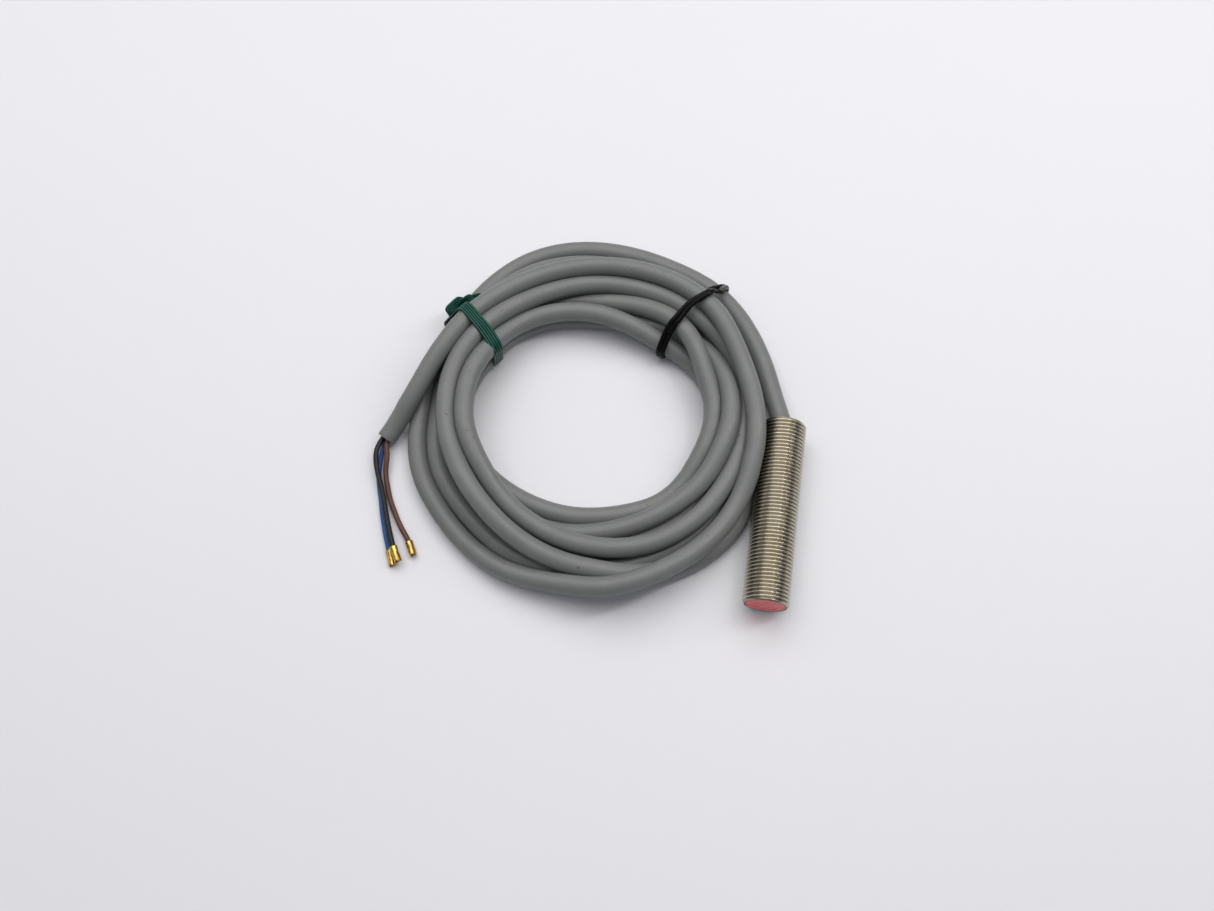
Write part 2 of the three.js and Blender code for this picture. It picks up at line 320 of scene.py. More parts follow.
def coil_guide():
    """The route that the cable wants to follow, in millimetres: the lead, each turn's
    twelve stations and the tail, joined by splines of clock angle, radius and height."""
    cx, cy = COIL_CENTRE
    rows = [LEAD]
    for number, (radii, heights) in enumerate(TURNS):
        first = 1 if number == 0 else 0
        angle = np.radians(STATIONS[first:first + len(radii)])
        radii = np.array(radii)
        rows.append(np.stack(
            [cx + radii * np.sin(angle), cy + radii * np.cos(angle), heights], -1
        ))
    rows.append(TAIL)
    points = np.concatenate([np.asarray(r, float) for r in rows])
    knots = distances(points[:, :2])
    radius = np.hypot(points[:, 0] - cx, points[:, 1] - cy)
    clock = np.unwrap(np.arctan2(points[:, 0] - cx, points[:, 1] - cy))
    at = np.arange(0, knots[-1], 1.0)
    curve = natural_spline(knots, np.stack([radius, clock, points[:, 2]], -1), at)
    return np.stack([
        cx + curve[:, 0] * np.sin(curve[:, 1]),
        cy + curve[:, 0] * np.cos(curve[:, 1]),
        curve[:, 2],
    ], -1)


def floor_height(points):
    """How low the cable's centreline may lie: the floor, and a little higher on the ties
    that pass beneath the coil."""
    east, north = (points[:, :2] - COIL_CENTRE).T
    clock = np.degrees(np.arctan2(east, north))
    lift = 0.0
    for middle, height in TIE_LIFTS:
        lift = lift + height * np.exp(-((clock - middle) / LIFT_WIDTH) ** 2)
    return REST_HEIGHT + lift


def settle(points, target, rounds, stiffness, step, fixed):
    """Lets the cable lie on itself. Each round pulls the route back to its target, sinks it
    a little, evens its shift out by bending stiffness (a solve with the second difference),
    and pushes any two stretches that are closer than a diameter apart, and all of it off the
    barrel and the floor. The first fixed points stay where they are."""
    count = len(points)
    bend = np.zeros((count, count))
    rows = np.arange(1, count - 1)
    bend[rows, rows - 1] = bend[rows, rows + 1] = 1
    bend[rows, rows] = -2
    even = np.linalg.inv(np.eye(count) + stiffness * bend.T @ bend)
    skip = int(np.ceil(2.5 * TOUCHING / step))
    index = np.arange(count)
    apart = np.triu(np.abs(index[:, None] - index[None, :]) > skip)
    free = (index >= fixed)[:, None]
    reach = BARREL_RADIUS + TOUCHING / 2 + BARREL_ROOM
    for _ in range(rounds):
        shift = even @ (points - target)
        shift *= (0.97, 0.97, 0.98)
        shift[:, 2] -= 0.02
        points = np.where(free, target + shift, points)
        for _ in range(2):
            gap = ((points[:, None, :] - points[None, :, :]) ** 2).sum(-1)
            a, b = np.nonzero((gap < TOUCHING**2) & apart)
            if len(a):
                away = points[a] - points[b]
                reached = np.sqrt(gap[a, b]) + 1e-9
                away = away * ((TOUCHING - reached) / reached)[:, None] * 0.5
                push, hits = np.zeros_like(points), np.zeros(count)
                np.add.at(push, a, away)
                np.add.at(push, b, -away)
                np.add.at(hits, a, 1)
                np.add.at(hits, b, 1)
                points = points + 1.6 * push / np.maximum(hits, 1)[:, None] * free
            off = np.hypot(points[:, 0], points[:, 2])
            near = (points[:, 1] < BARREL_SPAN[1]) & (points[:, 1] > BARREL_SPAN[0])
            near &= (off < reach) & (index * step > OWN_LEAD)
            grow = np.where(near, reach / np.maximum(off, 1e-6), 1.0)
            points[:, 0] *= grow
            points[:, 2] *= grow
            points[:, 2] = np.maximum(points[:, 2], floor_height(points))
    return points


ROUTES = {}


def cable_route():
    """The cable's settled centreline in metres, from inside the barrel to the cut end: it
    is settled with few points first, then with more. It is worked out once and kept."""
    if "cable" not in ROUTES:
        few, many = 480, 900
        target = spaced(coil_guide(), few)
        step = float(np.linalg.norm(target[1] - target[0]))
        coarse = settle(target.copy(), target, 260, 1.0, step, 3)
        finer = np.linspace(0, few - 1, many)
        start, goal = (
            np.stack([np.interp(finer, np.arange(few), p[:, k]) for k in range(3)], -1)
            for p in (coarse, target)
        )
        fine = settle(start, goal, 60, 4.0, step * (few - 1) / (many - 1), 6)
        ROUTES["cable"] = fine * MM
    return ROUTES["cable"]


# ---- surfaces ---------------------------------------------------------------------------


def grid_faces(rows, columns, closed_rows=False, closed_columns=True):
    """Corner numbers of the quads of a grid of points, closed either way if asked."""
    r = np.arange(rows if closed_rows else rows - 1)
    c = np.arange(columns if closed_columns else columns - 1)
    a, b = np.meshgrid(r, c, indexing="ij")
    a, b = a.ravel(), b.ravel()
    up, over = (a + 1) % rows, (b + 1) % columns
    return np.stack(
        [a * columns + b, a * columns + over, up * columns + over, up * columns + b], -1
    )


def add_mesh(name, points, faces, material, attributes=(), merge=0.0):
    """A new smooth object from arrays of points and quads. Equal points are merged where
    asked, and faces are turned outwards."""
    points = np.asarray(points, float).reshape(-1, 3)
    mesh = bpy.data.meshes.new(name)
    mesh.vertices.add(len(points))
    mesh.vertices.foreach_set("co", points.ravel())
    faces = np.asarray(faces, np.int32)
    sides = faces.shape[1]
    mesh.loops.add(faces.size)
    mesh.loops.foreach_set("vertex_index", faces.ravel())
    mesh.polygons.add(len(faces))
    mesh.polygons.foreach_set("loop_start", np.arange(0, faces.size, sides))
    mesh.update(calc_edges=True)
    for label, values in attributes:
        kind = "FLOAT" if np.ndim(values) == 1 else "FLOAT_VECTOR"
        layer = mesh.attributes.new(label, kind, "POINT")
        key = "value" if kind == "FLOAT" else "vector"
        layer.data.foreach_set(key, np.asarray(values, float).ravel())
    work = bmesh.new()
    work.from_mesh(mesh)
    if merge:
        bmesh.ops.remove_doubles(work, verts=work.verts, dist=merge)
        bmesh.ops.dissolve_degenerate(work, edges=work.edges, dist=merge)
    bmesh.ops.recalc_face_normals(work, faces=work.faces)
    work.to_mesh(mesh)
    work.free()
    mesh.validate()
    mesh.polygons.foreach_set("use_smooth", np.full(len(mesh.polygons), True))
    mesh.materials.append(material)
    piece = bpy.data.objects.new(name, mesh)
    bpy.context.scene.collection.objects.link(piece)
    return piece


def join_parts(parts):
    """Several (points, faces) grids as one pair of arrays."""
    points, faces, base = [], [], 0
    for p, f in parts:
        p = np.asarray(p, float).reshape(-1, 3)
        points.append(p)
        faces.append(np.asarray(f) + base)
        base += len(p)
    return np.concatenate(points), np.concatenate(faces)


def directions(points):
    """Unit tangents of a polyline."""
    tangent = np.gradient(points, axis=0)
    return tangent / np.linalg.norm(tangent, axis=1, keepdims=True)


def level_frame(points):
    """Tangent, side and up of a route that runs near level: side is level and at a right
    angle to the route, and up completes the three."""
    tangent = directions(points)
    side = np.cross(tangent, (0.0, 0.0, 1.0))
    side /= np.linalg.norm(side, axis=1, keepdims=True)
    return tangent, side, np.cross(side, tangent)


def capped(route, radii):
    """A route with both its ends doubled, its frames, and radii that close it to a point."""
    ends = [0, *range(len(route)), len(route) - 1]
    frames = tuple(v[ends] for v in level_frame(route))
    radii = np.broadcast_to(radii, len(route))
    return route[ends], np.concatenate([[0.0], radii, [0.0]]), frames


def tube(points, radii, sides, frames):
    """A circle carried along a route, with a radius r for each of its points:
    centre + r (side cos a + up sin a) for angle a."""
    _, side, up = frames
    angle = np.linspace(0, 2 * np.pi, sides, endpoint=False)
    ring = side[:, None, :] * np.cos(angle)[None, :, None]
    ring = ring + up[:, None, :] * np.sin(angle)[None, :, None]
    return points[:, None, :] + np.asarray(radii, float)[:, None, None] * ring


def lay_coordinates(radius, along, sides):
    """A tube's own coordinates at each of its points: round it as (r cos a, r sin a), and
    the distance along it."""
    angle = np.linspace(0, 2 * np.pi, sides, endpoint=False)
    return np.stack(np.broadcast_arrays(
        radius * np.cos(angle), radius * np.sin(angle), along[:, None]
    ), -1).reshape(-1, 3)


def lathe(profile, columns):
    """A profile of (radius, distance along Y) turned about the Y axis:
    (r sin a, y, r cos a) for angle a."""
    profile = np.asarray(profile, float)
    angle = np.linspace(0, 2 * np.pi, columns, endpoint=False)
    r, y = profile[:, :1], profile[:, 1:]
    return np.stack([r * np.sin(angle), y + 0 * angle, r * np.cos(angle)], -1)


def finish_piece(piece, nodes=()):
    """Puts a piece on the root body and hides the nodes it stands for."""
    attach(piece, "root")
    if nodes:
        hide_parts(*nodes)
    return piece


# ---- materials --------------------------------------------------------------------------


class Finish:
    """A small builder for one procedural material."""

    def __init__(self, name):
        self.material = bpy.data.materials.new(name)
        self.material.use_nodes = True
        self.tree = self.material.node_tree
        self.shader = self.tree.nodes["Principled BSDF"]

    def node(self, kind, **settings):
        """A node of one kind with its settings and input values."""
        made = self.tree.nodes.new(kind)
        for key, value in settings.items():
            if key in made.inputs:
                made.inputs[key].default_value = value
            else:
                setattr(made, key, value)
        return made

    def wire(self, start, end):
        """Links one socket to another."""
        self.tree.links.new(start, end)

    def set(self, **values):
        """Numbers that are the same all over, on the shader's own sockets."""
        for key, value in values.items():
            self.shader.inputs[key.replace("_", " ")].default_value = value
        return self

    def place(self, attribute=None, scale=(1, 1, 1)):
        """Coordinates in metres, from the object or from a piece's own attribute."""
        mapping = self.node("ShaderNodeMapping")
        mapping.inputs["Scale"].default_value = scale
        if attribute:
            source = self.node("ShaderNodeAttribute", attribute_name=attribute)
            self.wire(source.outputs["Vector"], mapping.inputs["Vector"])
        else:
            source = self.node("ShaderNodeTexCoord")
            self.wire(source.outputs["Object"], mapping.inputs["Vector"])
        return mapping.outputs["Vector"]

    def noise(self, vector, scale, detail=3.0, roughness=0.55):
        """Noise with that many features to the metre."""
        made = self.node("ShaderNodeTexNoise", Scale=scale, Detail=detail, Roughness=roughness)
        self.wire(vector, made.inputs["Vector"])
        return made.outputs["Fac"]

    def spread(self, value, low, high, to_low=0.0, to_high=1.0):
        """A value from low..high carried to to_low..to_high, and held at both ends."""
        made = self.node("ShaderNodeMapRange")
        made.inputs["From Min"].default_value = low
        made.inputs["From Max"].default_value = high
        made.inputs["To Min"].default_value = to_low
        made.inputs["To Max"].default_value = to_high
        self.wire(value, made.inputs["Value"])
        return made.outputs["Result"]

    def blend(self, amount, first, second):
        """Two colours, or sockets of colours, mixed by the socket of an amount."""
        made = self.node("ShaderNodeMix", data_type="RGBA")
        self.wire(amount, made.inputs[0])
        for socket, value in ((made.inputs[6], first), (made.inputs[7], second)):
            if isinstance(value, (tuple, list)):
                socket.default_value = (*value, 1.0)
            else:
                self.wire(value, socket)
        return made.outputs[2]

    def sum(self, first, second, factor=1.0):
        """first + factor x second."""
        made = self.node("ShaderNodeMath", operation="MULTIPLY_ADD")
        self.wire(second, made.inputs[0])
        made.inputs[1].default_value = factor
        self.wire(first, made.inputs[2])
        return made.outputs[0]

    def colour(self, socket):
        """The socket that gives the base colour."""
        self.wire(socket, self.shader.inputs["Base Color"])
        return self

    def rough(self, socket):
        """The socket that gives the roughness."""
        self.wire(socket, self.shader.inputs["Roughness"])
        return self

    def bump(self, height, distance, strength):
        """Bump from a height of 0 to 1 that stands for that many metres."""
        made = self.node("ShaderNodeBump", Strength=strength, Distance=distance)
        self.wire(height, made.inputs["Height"])
        self.wire(made.outputs["Normal"], self.shader.inputs["Normal"])
        return self


def shade(base, factor):
    """A colour made lighter or darker by a factor."""
    return tuple(min(1.0, max(0.0, c * factor)) for c in base)


def pvc(name, base, variation=0.12, gloss=(0.34, 0.5), attribute=None, grain=0.00002):
    """Extruded or moulded plastic: cloudy tone, faint lengthwise lines where the piece has
    its own coordinates, and a fine skin."""
    made = Finish(name)
    plain = made.place()
    cloud = made.noise(plain, 180.0, 4.0)
    tone = made.blend(made.spread(cloud, 0.3, 0.7), shade(base, 1 - variation),
                      shade(base, 1 + variation))
    height = made.noise(plain, 2600.0, 2.0)
    if attribute:
        lines = made.noise(made.place(attribute, (1.0, 1.0, 0.02)), 1500.0, 2.0)
        height = made.sum(height, lines, 0.9)
        tone = made.blend(made.spread(lines, 0.3, 0.7, 0.0, 0.25), tone, shade(base, 0.8))
    made.colour(tone)
    made.rough(made.spread(made.noise(plain, 420.0, 3.0), 0.3, 0.7, gloss[0], gloss[1]))
    made.bump(height, grain, 0.6)
    return made


def cable_jacket_finish(base):
    """Satin grey jacket: cloudy tone, scuffs and a few dirt specks, and faint lines left by
    the extruder."""
    made = pvc("cable_jacket", base, 0.05, (0.36, 0.5), "lay", 0.00002)
    tone = made.shader.inputs["Base Color"].links[0].from_socket
    plain = made.place()
    smudge = made.spread(made.noise(plain, 45.0, 5.0, 0.6), 0.56, 0.78, 0.0, 0.35)
    tone = made.blend(smudge, tone, shade(base, 0.72))
    scuff = made.spread(made.noise(made.place("lay", (1, 1, 0.25)), 900.0, 4.0), 0.66, 0.8,
                        0.0, 0.3)
    tone = made.blend(scuff, tone, shade(base, 1.45))
    speck = made.spread(made.noise(plain, 700.0, 1.0), 0.74, 0.79, 0.0, 0.6)
    tone = made.blend(speck, tone, (0.09, 0.065, 0.05))
    made.colour(tone)
    made.set(IOR=1.5, Specular_IOR_Level=0.42)
    return made.material


def nickel_finish(base):
    """Nickel-plated brass with painted shade that darkens the thread's roots, fine turning
    marks and a little tarnish."""
    made = Finish("nickel_plate")
    plain = made.place()
    depth = made.node("ShaderNodeAttribute", attribute_name="crest").outputs["Fac"]
    tarnish = made.noise(plain, 260.0, 5.0, 0.62)
    tone = made.blend(made.spread(tarnish, 0.35, 0.7, 0.0, 0.55), base,
                      (base[0] * 0.8, base[1] * 0.75, base[2] * 0.66))
    # Painted shade: points low on the crest attribute, in the thread's roots, are darkened
    # towards dark brown.
    tone = made.blend(made.spread(depth, 0.0, 0.75, 0.75, 0.0), tone,
                      (0.16, 0.125, 0.085))
    made.colour(tone)
    marks = made.noise(made.place(None, (0.15, 1.0, 0.15)), 9000.0, 2.0)
    worn = made.spread(made.noise(plain, 900.0, 4.0), 0.3, 0.7, 0.15, 0.27)
    made.rough(worn)
    made.bump(made.sum(marks, tarnish, 0.6), 0.000006, 0.12)
    made.set(Metallic=1.0)
    return made.material


def ribbon_finish(base):
    """Ribbed green ribbon, with a painted highlight along the tops of its ribs and painted
    shade, nearly black, between them.
    """
    made = pvc("green_ribbon", base, 0.2, (0.34, 0.5), None, 0.00002)
    tone = made.shader.inputs["Base Color"].links[0].from_socket
    rib = made.node("ShaderNodeAttribute", attribute_name="rib").outputs["Fac"]
    # Painted shade: nearly black in the hollows between the ribs.
    tone = made.blend(made.spread(rib, 0.25, 0.7, 0.9, 0.0), tone, shade(base, 0.12))
    # Painted highlight: pale along the tops of the ribs.
    tone = made.blend(made.spread(rib, 0.78, 0.98, 0.0, 0.8), tone,
                      (base[0] * 16.0, base[1] * 4.0, base[2] * 4.6))
    made.colour(tone)
    made.set(Specular_IOR_Level=0.16)
    return made.material


def brass_finish(base):
    """Pressed brass sheet with draw lines and dull patches."""
    made = Finish("pressed_brass")
    plain = made.place()
    patch = made.noise(plain, 900.0, 4.0)
    made.colour(made.blend(made.spread(patch, 0.35, 0.72), base,
                           (base[0] * 0.6, base[1] * 0.5, base[2] * 0.4)))
    made.rough(made.spread(patch, 0.3, 0.7, 0.2, 0.4))
    made.bump(made.noise(made.place(None, (1.0, 0.2, 1.0)), 4000.0, 2.0), 0.00002, 0.6)
    made.set(Metallic=1.0)
    return made.material


def face_finish(base):
    """Moulded red plastic: slightly mottled, with a fine satin skin and a painted shadow of
    the barrel's lip, dark red, round its edge.
    """
    made = Finish("face_plastic")
    plain = made.place()
    cloud = made.noise(plain, 500.0, 4.0)
    tone = made.blend(made.spread(cloud, 0.3, 0.7), shade(base, 0.9), shade(base, 1.12))
    rim = made.node("ShaderNodeAttribute", attribute_name="rim").outputs["Fac"]
    # Painted shadow of the barrel's lip: dark red towards the face's edge, by the rim
    # attribute.
    tone = made.blend(made.spread(rim, 0.0, 1.0, 0.0, 0.7), tone, (0.16, 0.02, 0.025))
    made.colour(tone)
    made.rough(made.spread(cloud, 0.3, 0.7, 0.22, 0.4))
    made.bump(made.noise(plain, 5200.0, 2.0), 0.000012, 0.6)
    made.set(Specular_IOR_Level=0.35)
    return made.material


# ---- pieces -----------------------------------------------------------------------------


def build_cable(settings):
    """The jacket as one closed tube from inside the barrel to the cut end. Its radius ripples
    by about a hundredth of a millimetre or two, and at the cut end the surface turns in over
    a small rounded lip and runs back up the bore to a flat plug of filler."""
    route = cable_route()
    radius, bore = settings.jacket_radius, settings.bore_radius
    along = distances(route)
    tangent, side, up = level_frame(route)
    ripple = sum(np.sin(along * k + phase) for k, phase in JACKET_RIPPLES)
    radii = radius * (1 + 0.0022 * ripple)
    lip = ((0.12, 0.0), (0.05, 0.03), (0.0, 0.12))
    bore_at = (0.0, 0.06, 0.4, 2.8, 2.8)
    tail_at = -np.array([back for back, _ in lip] + list(bore_at)) * MM
    tail_r = [radius - less * MM for _, less in lip]
    tail_r += [bore + 0.05 * MM, bore, bore - 0.02 * MM, bore - 0.04 * MM, 0.0]
    keep = along < along[-1] - 0.3 * MM
    count = len(tail_at)
    centres = np.concatenate([
        route[:1], route[keep], route[-1] + tail_at[:, None] * tangent[-1]
    ])
    frames = tuple(
        np.concatenate([v[:1], v[keep], np.repeat(v[-1:], count, axis=0)])
        for v in (tangent, side, up)
    )
    sizes = np.concatenate([[0.0], radii[keep], tail_r])
    points = tube(centres, sizes, settings.sides, frames)
    measured = np.concatenate([[0.0], along[keep], along[-1] + tail_at])
    piece = add_mesh(
        "cable_jacket_tube", points, grid_faces(len(centres), settings.sides),
        cable_jacket_finish(tuple(settings.grey)),
        [("lay", lay_coordinates(radius, measured, settings.sides))], MERGE,
    )
    return finish_piece(piece, ["cable_lead", "cable_coil", "cable_tail"])


def wire_route(name):
    """One wire's centreline in metres: from inside the jacket's bore, out along its given
    points to the far end of its ferrule."""
    cable = cable_route()
    tangent, side, up = (v[-1] for v in level_frame(cable))
    across, above = WIRE_SPOTS[name]
    start = [cable[-1] / MM - back * tangent - across * side + above * up
             for back in INSIDE_JACKET]
    return smooth_route(np.concatenate([start, WIRES[name]]), 90) * MM


def crimp(route, radius, turn):
    """A ferrule: a brass strip rolled about the wire's end. Across the strip the angle runs
    from one edge of the open seam to the other and the radius falls towards both edges, so
    that they curl in. Along it the sleeve flares at its mouth, is pinched in the middle and
    spreads into two lobes at the tip."""
    across = np.linspace(-1, 1, 33)
    along = np.linspace(0, 1, 25)
    a, t = np.meshgrid(across, along)
    curl = 1 - 0.42 * np.abs(a) ** 5
    pinch = 1 - 0.10 * np.exp(-((t - 0.42) / 0.16) ** 2) + 0.07 * np.exp(-(t / 0.07) ** 2)
    lobes = 1 + 0.12 * t**3 * np.cos(2 * np.pi * a)
    r = radius * curl * pinch * lobes
    angle = a * np.radians(168) + turn
    notch = 0.07 * np.cos(np.pi * a) ** 2 * (t > 0.7) * (t - 0.7) / 0.3
    stations = np.clip(t - notch, 0, 1) * (len(route) - 1)
    _, side, up = level_frame(route)
    index = np.arange(len(route))

    def sample(v):
        return np.stack([np.interp(stations, index, v[:, k]) for k in range(3)], -1)

    flat = 0.9 + 0.1 * np.cos(2 * (angle - turn))
    return (
        sample(route)
        + (r * np.cos(angle) * flat)[..., None] * sample(up)
        + (r * np.sin(angle))[..., None] * sample(side)
    )


def build_wires(settings):
    """The three stripped wires, their bare strands and their rolled brass ferrules."""
    made = []
    sides, sleeve, tucked = 20, 4.5 * MM, 0.9 * MM
    brass = brass_finish(tuple(settings.brass))
    copper = Finish("bare_strands")
    copper.colour(copper.blend(copper.spread(copper.noise(copper.place(), 1200.0), 0.3, 0.7),
                               (0.62, 0.27, 0.13), (0.45, 0.2, 0.1)))
    copper.set(Metallic=1.0, Roughness=0.3)
    for name in WIRES:
        route = wire_route(name)
        along = distances(route)
        total = along[-1]
        cut = along < total - sleeve + tucked
        wire, along_wire = route[cut], along[cut]
        radii = settings.wire_radius * (1 + 0.01 * np.sin(along_wire * 900.0))
        radii[-1] *= 0.92
        centres, sizes, frames = capped(wire, radii)
        along_wire = np.concatenate([along_wire[:1], along_wire, along_wire[-1:]])
        base = tuple(getattr(settings, name))
        finish = pvc(f"wire_{name}_insulation", base, 0.14, (0.36, 0.52), "lay", 0.00001)
        finish.set(Specular_IOR_Level=0.35)
        piece = add_mesh(
            f"wire_{name}_insulated", tube(centres, sizes, sides, frames),
            grid_faces(len(centres), sides), finish.material,
            [("lay", lay_coordinates(settings.wire_radius, along_wire, sides))], MERGE,
        )
        made.append(finish_piece(piece, [f"wire_{name}"]))
        end = spaced(route[along > total - sleeve], 40)
        skin = crimp(end, settings.ferrule_radius, SEAM_TURNS[name])
        rows, columns = skin.shape[:2]
        piece = add_mesh(
            f"ferrule_{name}_crimped", skin,
            grid_faces(rows, columns, closed_columns=False), brass,
        )
        wall = piece.modifiers.new("wall", "SOLIDIFY")
        wall.thickness = 0.00022
        wall.offset = 0
        round_off = piece.modifiers.new("edges", "BEVEL")
        round_off.width = 0.00005
        round_off.segments = 2
        made.append(finish_piece(piece, [f"ferrule_{name}"]))
        made.append(finish_piece(bare_strands(name, end, copper.material)))
    return made


def bare_strands(name, route, material):
    """Seven bare strands inside a ferrule: one in the middle and six laid round it in a
    slow helix."""
    radius, sides = 0.17 * MM, 8
    _, side, up = level_frame(route)
    t = np.linspace(0, 1, len(route))
    parts = []
    for k in range(7):
        turn = 2 * np.pi * k / 6 + 1.9 * t
        off = 0.0 if k == 6 else 2 * radius
        line = route + off * (np.cos(turn)[:, None] * side + np.sin(turn)[:, None] * up)
        line = spaced(line[3:-1], 26)
        centres, sizes, frames = capped(line, radius * 0.97)
        parts.append((tube(centres, sizes, sides, frames), grid_faces(len(centres), sides)))
    points, faces = join_parts(parts)
    return add_mesh(f"bare_strands_{name}", points, faces, material, merge=MERGE)


def build_barrel(settings):
    """The barrel as one closed shell. Its outside is a helical thread: rows follow the
    helix, so that y = pitch (s + a / turn) at angle a, and the radius is a rounded
    trapezium of s. Rows past either end are drawn in to the end plane, and the surface then
    turns down over the end, into the seat for the face cap, and through the bore."""
    pitch, depth = settings.pitch, settings.depth
    columns, size = settings.columns, settings.barrel_length
    angle = np.linspace(0, 2 * np.pi, columns + 1)
    per_turn = 10
    s = np.arange(-1 * per_turn, int(size / pitch + 1) * per_turn + 1) / per_turn
    wave = 0.5 + 0.5 * np.clip(1.45 * np.sin(2 * np.pi * s), -1, 1)
    crest = wave**0.85
    y = pitch * (s[:, None] + angle[None, :] / (2 * np.pi))
    thread = settings.crest_radius - depth * (1 - crest)[:, None] + 0 * y
    bite = np.clip(y, 0, size)
    edge = settings.crest_radius - settings.depth * 0.9
    to_end = np.minimum(bite, size - bite)
    cone = edge + to_end * (settings.crest_radius - edge) / settings.chamfer
    r = np.minimum(thread, cone)
    r = np.where((y <= 0) | (y >= size), edge, r)
    points = np.stack([r * np.sin(angle), bite, r * np.cos(angle)], -1)
    # How high each point stands on the thread, from root to crest: the plate's colour uses it
    # to paint shade into the roots.
    level = np.clip((r - (settings.crest_radius - depth)) / depth, 0, 1)
    seat, seat_depth = 5.3 * MM, 1.2 * MM
    bore = 5.1 * MM
    inner = np.array([
        (edge - 0.02 * MM, size), (bore + 0.12 * MM, size), (bore, size - 0.12 * MM),
        (bore, size * 0.5), (bore, seat_depth), (seat, seat_depth), (seat, 0.12 * MM),
        (seat + 0.05 * MM, 0.0), (edge - 0.02 * MM, 0.0),
    ])
    inside = np.stack([
        inner[:, :1] * np.sin(angle), inner[:, 1:] + 0 * angle, inner[:, :1] * np.cos(angle)
    ], -1)
    shell = np.concatenate([points, inside])
    level = np.concatenate([level, np.full(inside.shape[:2], 0.8)])
    rows = len(shell)
    faces = grid_faces(rows, columns + 1, closed_rows=True, closed_columns=False)
    piece = add_mesh(
        "threaded_barrel_cut", shell, faces, nickel_finish(tuple(settings.nickel)),
        [("crest", level.ravel())], 2e-6,
    )
    return finish_piece(piece, ["threaded_barrel"])


def build_face(settings):
    """The sensing face: a turned disc with a rounded edge, a shallow dish, one faint moulded
    ring and a low gate mark in the middle. In millimetres, y(r) is a level, less a cosine
    out to the dish's rim, and a bell curve of r each for the ring and the mark."""
    r = np.concatenate([np.linspace(0, 5.0, 61), [5.08, 5.14, 5.17, 5.2, 5.2]])
    y = 0.06 * np.ones_like(r)
    y -= 0.02 * np.cos(np.pi * np.clip(r / 4.6, 0, 1)) * (r < 4.6)
    y += 0.13 * np.exp(-((r - 3.1) / 0.2) ** 2)
    y -= 0.03 * np.exp(-((r - 0.3) / 0.12) ** 2)
    y[-5:] = (0.062, 0.08, 0.11, 0.2, 1.1)
    # How near each point is to the edge: the face's colour paints the barrel lip's shadow
    # there as a dark red band.
    rim = np.clip((r - 4.75) / 0.35, 0, 1)
    back = np.array([(5.1, 1.18), (2.6, 1.18), (0.0, 1.18)])
    profile = np.concatenate([np.stack([r, y], -1), back]) * MM
    rim = np.concatenate([rim, [1, 1, 1]])
    columns = 96
    points = lathe(profile, columns)
    piece = add_mesh(
        "sensing_face_moulded", points, grid_faces(len(profile), columns),
        face_finish(tuple(settings.red)), [("rim", np.repeat(rim, columns))], MERGE,
    )
    return finish_piece(piece, ["sensing_face_cap"])


def build_bush(settings):
    """The rear bush: a turned plug with a rounded shoulder, a groove and a small collar
    drawn up the cable."""
    end = settings.barrel_length / MM
    profile = np.array([
        (2.72, end - 9.3), (4.9, end - 9.3), (4.95, end - 9.2), (4.95, end - 0.75),
        (4.85, end - 0.5), (4.6, end - 0.36), (4.3, end - 0.34), (4.12, end - 0.44),
        (3.95, end - 0.44), (3.8, end - 0.3), (3.55, end - 0.12), (3.35, end + 0.15),
        (3.22, end + 0.5), (3.12, end + 0.66), (2.95, end + 0.72), (2.8, end + 0.66),
        (2.72, end + 0.5),
    ]) * MM
    columns = 72
    made = pvc("bush_plastic", (0.02, 0.02, 0.022), 0.2, (0.3, 0.5), None, 0.00003)
    piece = add_mesh(
        "rear_bush_moulded", lathe(profile, columns),
        grid_faces(len(profile), columns, closed_rows=True), made.material,
    )
    return finish_piece(piece, ["rear_bush"])


def bow_at(bow, distance):
    """How far a tie bows sideways at a distance along its line: a smooth curve through the
    bow's pairs, held at both ends."""
    knots, values = bow
    return natural_spline(knots, values, np.clip(distance, knots[0], knots[-1]))


def bundle_section(origin, along, across, bow):
    """Where the cable's turns cross the upright sheet under a tie, whose plan is origin +
    t along + bow(t) across: pairs of t and height, in millimetres."""
    route = cable_route() / MM
    off = (route[:, :2] - origin) @ across
    off = off - bow_at(bow, (route[:, :2] - origin) @ along)
    t = np.nonzero(off[:-1] * off[1:] < 0)[0]
    w = off[t] / (off[t] - off[t + 1])
    crossing = route[t] + w[:, None] * (route[t + 1] - route[t])
    flat = (crossing[:, :2] - origin) @ along
    near = np.abs(flat) < TIE_REACH
    return np.stack([flat[near], crossing[near, 2]], -1)


def belt(section, radius, count):
    """A belt round circles of one radius at the section's points: for each direction the
    farthest centre plus the radius that way, spaced evenly and smoothed a little."""
    angle = np.linspace(0, 2 * np.pi, 720, endpoint=False)
    outward = np.stack([np.cos(angle), np.sin(angle)], -1)
    centre = section[np.argmax(section @ outward.T, axis=0)]
    loop = centre + radius * outward
    loop = spaced(np.concatenate([loop, loop[:1]]), count + 1)[:-1]
    for _ in range(3):
        loop = 0.5 * loop + 0.25 * (np.roll(loop, 1, axis=0) + np.roll(loop, -1, axis=0))
    return loop


